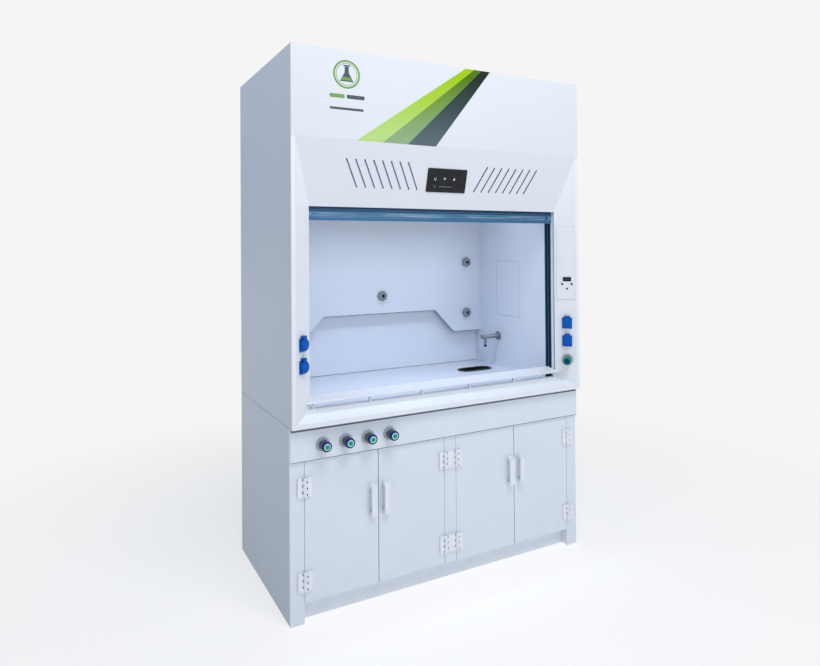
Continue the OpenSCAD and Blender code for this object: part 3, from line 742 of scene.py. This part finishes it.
def valve_knob(name, body, where, grip, band, centre):
    """Fluted grip turned from a profile with 12 shallow lobes, a coloured ring and a domed cap."""
    fluted = turned(
        [(4.1, 34.6), (16.8, 34.6), (18.2, 35.2), (19.4, 38), (20.6, 41), (21.2, 46), (21.2, 52),
         (20.6, 56.0), (19.6, 58.2), (18.0, 59.2), (14.8, 59.0), (14.4, 58.4), (4.1, 58.4)],
        where, 12, 0.014, 96)
    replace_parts(build(f"{name}_grip", body, grip, *fluted), body)
    build(f"{name}_band", body, band, *turned(
        [(9.4, 58.3), (14.2, 58.3), (14.2, 59.0), (13.6, 59.6), (10.2, 59.8), (9.6, 59.4)], where))
    build(f"{name}_cap", body, centre, *turned(
        [(9.2, 58.3), (9.2, 60.2), (8.4, 60.8), (6.0, 61.2), (2.0, 61.35), (0.2, 61.38)], where))


def neck_sleeve(name, where):
    """Dark sleeve on the valve's neck, flared at the rosette."""
    build(f"neck_sleeve_{name}", "hood", DARK, *turned(
        [(15.7, 11.2), (19.6, 11.2), (20.0, 12.0), (19.0, 13.5), (17.0, 15), (16.4, 18),
         (16.4, 31), (16.0, 33.4), (15.6, 33.6)], where))


for i in range(4):
    spot = facing(VALVE_X + VALVE_PITCH * i, APRON_Y, VALVE_Z)
    valve_knob(f"gas_{i + 1}", f"gas_knob_{i + 1}", spot, NAVY, CYAN, GREEN)
    neck_sleeve(i + 1, spot)
water = right.at(SOCKET_U, WATER_Z)
valve_knob("water", "water_knob", water, GREEN, TEAL, NAVY)
neck_sleeve("water", water)

# ---------------------------------------------------------------- star knobs on the baffle

stars, centres = [], []
for x, z in STARS:
    spot = facing(x, BAFFLE_Y, z)
    stars.append(turned(
        [(10, 0.2), (24.5, 0.4), (26.4, 2.4), (26.9, 8), (26.4, 14), (24.6, 17.2), (20, 19.2),
         (12.4, 20.4), (11.2, 21.4), (9.6, 21.8), (8.9, 21.2), (8.7, 17.5)], spot, 8, 0.05, 96))
    centres.append(turned([(8.6, 16.8), (8.6, 18.6), (7.4, 19.4), (3.0, 19.7), (0.3, 19.7)], spot))
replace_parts(build("star_knobs", "hood", GREY, *join(stars)), "baffle_knobs")
build("star_centres", "hood", BLACK, *join(centres))
studs = [rod(bar((x, 344.8, z), (x, 353.4, z), 2), 3.9, 20) for x, z in STARS]
spacers = [rod(bar((x, 353.2, z), (x, 412.8, z), 3), 8.9, 24) for x, z in STARS]
build("baffle_studs", "hood", GREY, *join(studs + spacers))

# ---------------------------------------------------------------- screws

spots = [right.at(10, z, 2.5) for z in (1276, 1602)]
spots += [on_right_wall(OPEN_X, y, 1290) for y in (-42, 162)]
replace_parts(heads(spots, "panel_screws", 3.4, 1.3, NYLON), "screws")
heads([p.at(SOCKET_U + a, z + b, 4.0) for p in (left, right) for z in SOCKET_Z.values()
       for a in (-20, 20) for b in (-24.2, 24.2)], "socket_screws", 2.2, 0.8)
rear = [(x, z) for z in (18, 775, 820, 2330) for x in (-720, -360, 0, 360, 720)]
rear += [(x, z) for x in (-720, 720) for z in (270, 520, 1200, 1580, 1960)]
heads([Place((x, BACK_Y - 0.1, z), (-1, 0, 0), (0, 0, 1), (0, 1, 0)) for x, z in rear],
      "rear_screws", 5.0, 2.0)

# ---------------------------------------------------------------- painted shade in the hinge pockets


def pocket_shade_plates(i, leaf):
    """Dark plate on the floor of each pocket in one leaf of hinge pair i, painted shade in the pocket; leaf 0
    is the fixed one.
    """
    turn = -1 if (i % 2 == 0) == (leaf == 0) else 1
    x = HINGE_X[i] + turn * 10.6
    step = LEAF_H / KNUCKLES
    outline = rounded(4.2, step - 4.4, 0.6, 3)
    return [plate(outline, 0.5, facing(x, -391.2, z - LEAF_H / 2 + (k + 0.5) * step))
            for z in HINGE_Z for k in range(1 - leaf, KNUCKLES, 2)]


# painted shade: dark plates deepen the shade in the hinge pockets
build("hinge_pocket_shade", "hood", DARK, *join(sum((pocket_shade_plates(i, 0) for i in range(4)), [])), smooth=False)
for i in range(4):
    build(f"leaf_pocket_shade_{i + 1}", f"door_{i + 1}", DARK, *join(pocket_shade_plates(i, 1)), smooth=False)

# ---------------------------------------------------------------- highlight bead on the sash, and weld beads

groove = facing(0, -328.2, RAIL_Z + 28)
# painted highlight: a lighter blue metal bead round the groove stands in for the bright edge of the groove
build("groove_highlight_rim", "sash_lower", RIM_HIGHLIGHT, *hoop(groove, 1268.6, 31.6, 15.7, 0.9, n=14))

wall_x = OPEN_X - 1
beads = [bar((x, -270, 841.5), (x, 384, 841.5)) for x in (-wall_x, wall_x)]
beads += [bar((x, 344, 1030), (x, 344, 2058)) for x in (-wall_x, wall_x)]
build("weld_beads", "hood", LINER, *join([rod(b, 2.2, ripple=0.10, pitch=7.0) for b in beads]))
mitres = [bar((s * 731, -425.1, z0), (s * 652.4, -350.6, z1), 3)
          for s in (-1, 1) for z0, z1 in ((1975.8, 1701.2), (817.6, 860.9))]
build("mitre_welds", "hood", FRONT, *join([rod(b, 1.1, 6, ripple=0.08, pitch=7.0) for b in mitres]))

# ---------------------------------------------------------------- painted edge shadows and shade strips, and the tap tip

access, cover = on_right_wall(OPEN_X - 0.4, 60, 1289), right.at(51, 1439, 0.2)
# painted shade: grey-blue beads round the access panel and the cover plate stand in for the shadow along
# their edges
build("access_edge_shadow", "hood", EDGE_SHADOW, *hoop(access, 220.5, 308.5, 1.2, 0.7, sides=6, n=3))
build("cover_edge_shadow", "hood", EDGE_SHADOW, *hoop(cover, 93, 375, 1.2, 0.5, sides=6, n=3))
apron_face = facing(0, APRON_Y + 0.1, 0)
# painted shade: dark strips on the apron's face, under the hood's overhang and along the apron's lower edge
build("apron_shadow_strips", "hood", GAP, *join([
    plate([(-747, z0), (747, z0), (747, z1), (-747, z1)], 0.5, apron_face)
    for z0, z1 in ((781.5, 787.6), (658.2, 660.4))]), smooth=False)
notch = [(-648, 1027), (-465.5, 1027), (-340.5, 1159), (340.5, 1159), (465.5, 1027), (648, 1027)]
# painted shade: a dark rod behind the notched lower edge of the upper baffle stands in for the shadow under
# that edge
build("notch_shadow_strip", "hood", GAP, *rod(np.concatenate([
    bar((a[0], 350.5, a[1]), (b[0], 350.5, b[1]), 6) for a, b in zip(notch, notch[1:])]), 2.4, 8))
spout_end = Place((560, 155, 955), (1, 0, 0), (0, 1, 0), (0, 0, 1))
build("tap_tip", "hood", BLACK, *turned(
    [(4.6, -1.4), (6.9, -1.4), (7.2, -0.8), (7.2, 10.5), (6.8, 11.2), (6.55, 11.2)], spout_end))

# ---------------------------------------------------------------- stage and light


def stage_plane(name, size, z, finish):
    """Flat square floor that reaches size metres each way."""
    mesh = bpy.data.meshes.new(name)
    corners = [(u * size, v * size, z) for u, v in ((-1, -1), (1, -1), (1, 1), (-1, 1))]
    mesh.from_pydata(corners, [], [(0, 1, 2, 3)])
    obj = bpy.data.objects.new(name, mesh)
    scene.collection.objects.link(obj)
    mesh.materials.append(finish)


PALE = (0.913, 0.913, 0.913)  # the studio's far wall and floor


def studio_floor():
    """Pale floor, a little darker near the hood; it glows, so that the lamps leave no edge."""
    f = Finish("floor_pale")
    x, y, _ = f.xyz()
    far = f.node("ShaderNodeMath", {"operation": "SQRT"}, {0: x * x + y * y}).span(1.2, 3.2)
    return f.coat(Base_Color=f.mix(far, (0.40, 0.39, 0.38), (0.0, 0.0, 0.0)), Roughness=0.9,
                  Specular_IOR_Level=0.0, Emission_Color=f.mix(far, (0.66, 0.66, 0.66), PALE),
                  Emission_Strength=1.0)


def studio_air():
    """Cool soft light from all round, with the pale wall behind what the eye sees."""
    world = bpy.data.worlds.new("studio")
    scene.world = world
    world.use_nodes = True
    nodes, links = world.node_tree.nodes, world.node_tree.links
    soft = nodes["Background"]
    soft.inputs[0].default_value = (0.60, 0.77, 1.0, 1)
    soft.inputs[1].default_value = 0.34
    seen = nodes.new("ShaderNodeBackground")
    seen.inputs[0].default_value = (*PALE, 1)
    ray = nodes.new("ShaderNodeLightPath")
    blend = nodes.new("ShaderNodeMixShader")
    links.new(ray.outputs["Is Camera Ray"], blend.inputs[0])
    links.new(soft.outputs[0], blend.inputs[1])
    links.new(seen.outputs[0], blend.inputs[2])
    links.new(blend.outputs[0], nodes["World Output"].inputs[0])


def lamp(name, spot, target, size, watts, colour, spread=180):
    """Soft rectangular lamp; spread is its full beam angle in degrees."""
    data = bpy.data.lights.new(name, "AREA")
    data.shape, data.size, data.size_y = "RECTANGLE", size[0], size[1]
    data.energy, data.color, data.spread = watts, colour, math.radians(spread)
    obj = bpy.data.objects.new(name, data)
    scene.collection.objects.link(obj)
    obj.location = spot
    obj.rotation_euler = (Vector(target) - Vector(spot)).to_track_quat("-Z", "Y").to_euler()


stage_plane("floor", 60, -0.001, studio_floor())
studio_air()
lamp("key", (-0.2, -3.0, 4.9), (0.0, -0.3, 1.0), (2.6, 2.0), 106, (1.0, 0.99, 0.985))
lamp("front_fill", (1.2, -5.5, 2.6), (0.0, 0.0, 1.1), (3.5, 1.8), 40, (0.90, 0.95, 1.0))
lamp("back_rim", (-3.5, 3.5, 3.2), (0.0, 0.0, 1.2), (2.5, 2.5), 9, (0.85, 0.92, 1.0))
lamp("chamber", (0.0, -0.17, 2.10), (0.0, -0.02, 0.8), (1.1, 0.15), 2.5, (0.76, 0.86, 1.0), 84)
